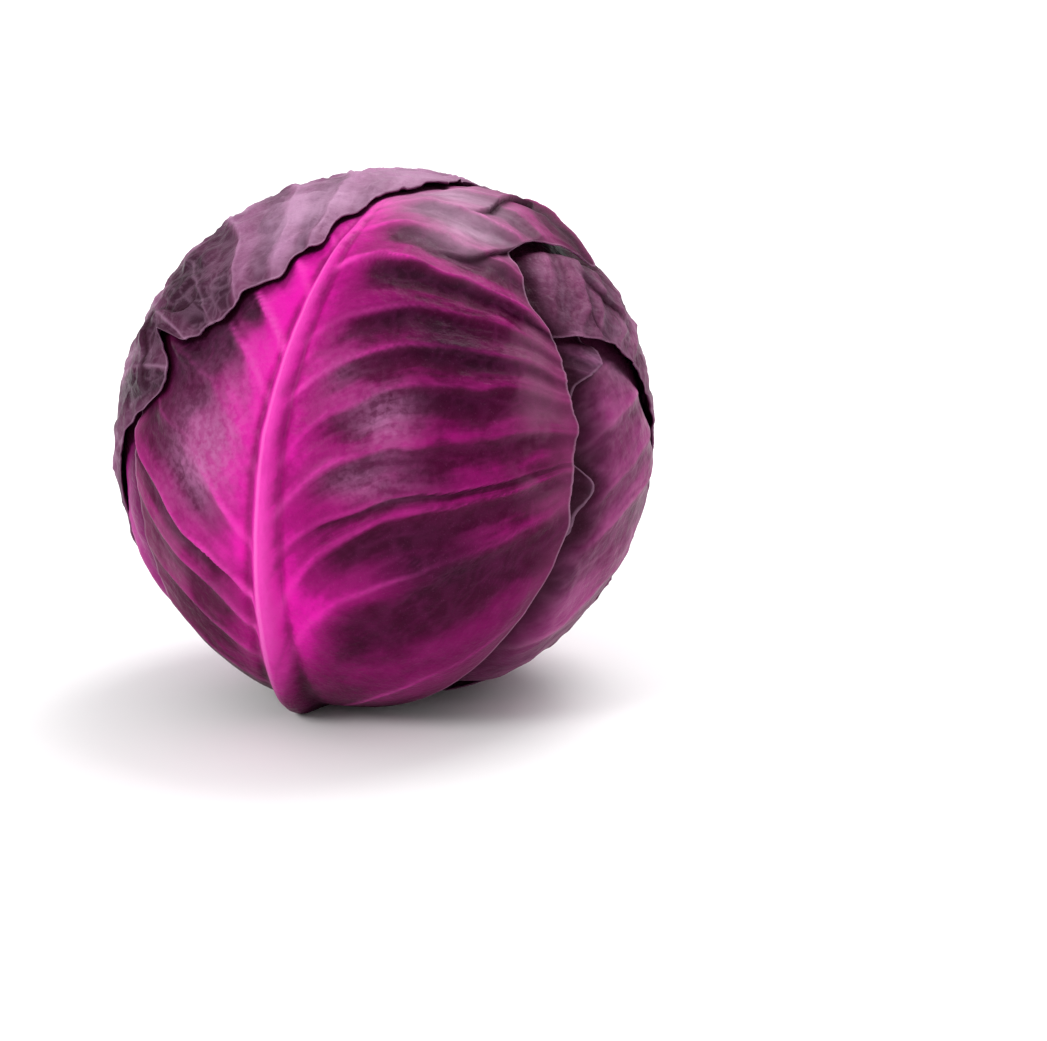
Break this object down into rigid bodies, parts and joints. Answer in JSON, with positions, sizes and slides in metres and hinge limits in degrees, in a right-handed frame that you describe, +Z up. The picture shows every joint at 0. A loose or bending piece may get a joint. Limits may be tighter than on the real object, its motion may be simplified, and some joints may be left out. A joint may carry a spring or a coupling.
{
  "type": "cabbage head",
  "caption": "Whole red cabbage head of overlapping wrapper leaves wrapped tightly round inner leaves and a tapered stalk, resting on its cut stump.",
  "frame": {"origin": "on the resting plane, under the middle of the head's bounding box", "axes": "+Z up; -Y is the side with the broad front leaf and its midrib; +X is the side the head's top leans to"},
  "size_m": [0.1606, 0.1606, 0.1583],
  "materials": {
    "crown_leaf": "waxy purple cabbage leaf, satin",
    "front_leaf": "waxy purple cabbage leaf, satin",
    "right_leaf": "waxy purple cabbage leaf, satin",
    "ruffled_leaf": "waxy purple cabbage leaf, satin",
    "side_leaf": "waxy purple cabbage leaf, satin",
    "flank_leaf": "waxy purple cabbage leaf, satin",
    "left_leaf": "waxy purple cabbage leaf, satin",
    "back_leaf": "waxy purple cabbage leaf, satin",
    "inner_leaf": "waxy purple cabbage leaf, satin",
    "heart": "pale violet leaf bud, satin",
    "stalk": "cream fibrous stalk, matt"
  },
  "bodies": {
    "root": {"wrapper_leaf_crown": "crown_leaf", "wrapper_leaf_front": "front_leaf", "wrapper_leaf_right": "right_leaf", "wrapper_leaf_ruffled": "ruffled_leaf", "wrapper_leaf_side": "side_leaf", "wrapper_leaf_flank": "flank_leaf", "wrapper_leaf_left": "left_leaf", "wrapper_leaf_back": "back_leaf", "inner_leaf_01": "inner_leaf", "inner_leaf_02": "inner_leaf", "inner_leaf_03": "inner_leaf", "inner_leaf_04": "inner_leaf", "inner_leaf_05": "inner_leaf", "inner_leaf_06": "inner_leaf", "inner_leaf_07": "inner_leaf", "inner_leaf_08": "inner_leaf", "inner_leaf_09": "inner_leaf", "inner_leaf_10": "inner_leaf", "inner_leaf_11": "inner_leaf", "inner_leaf_12": "inner_leaf", "inner_leaf_13": "inner_leaf", "heart": "heart", "stalk": "stalk"}
  },
  "joints": []
}
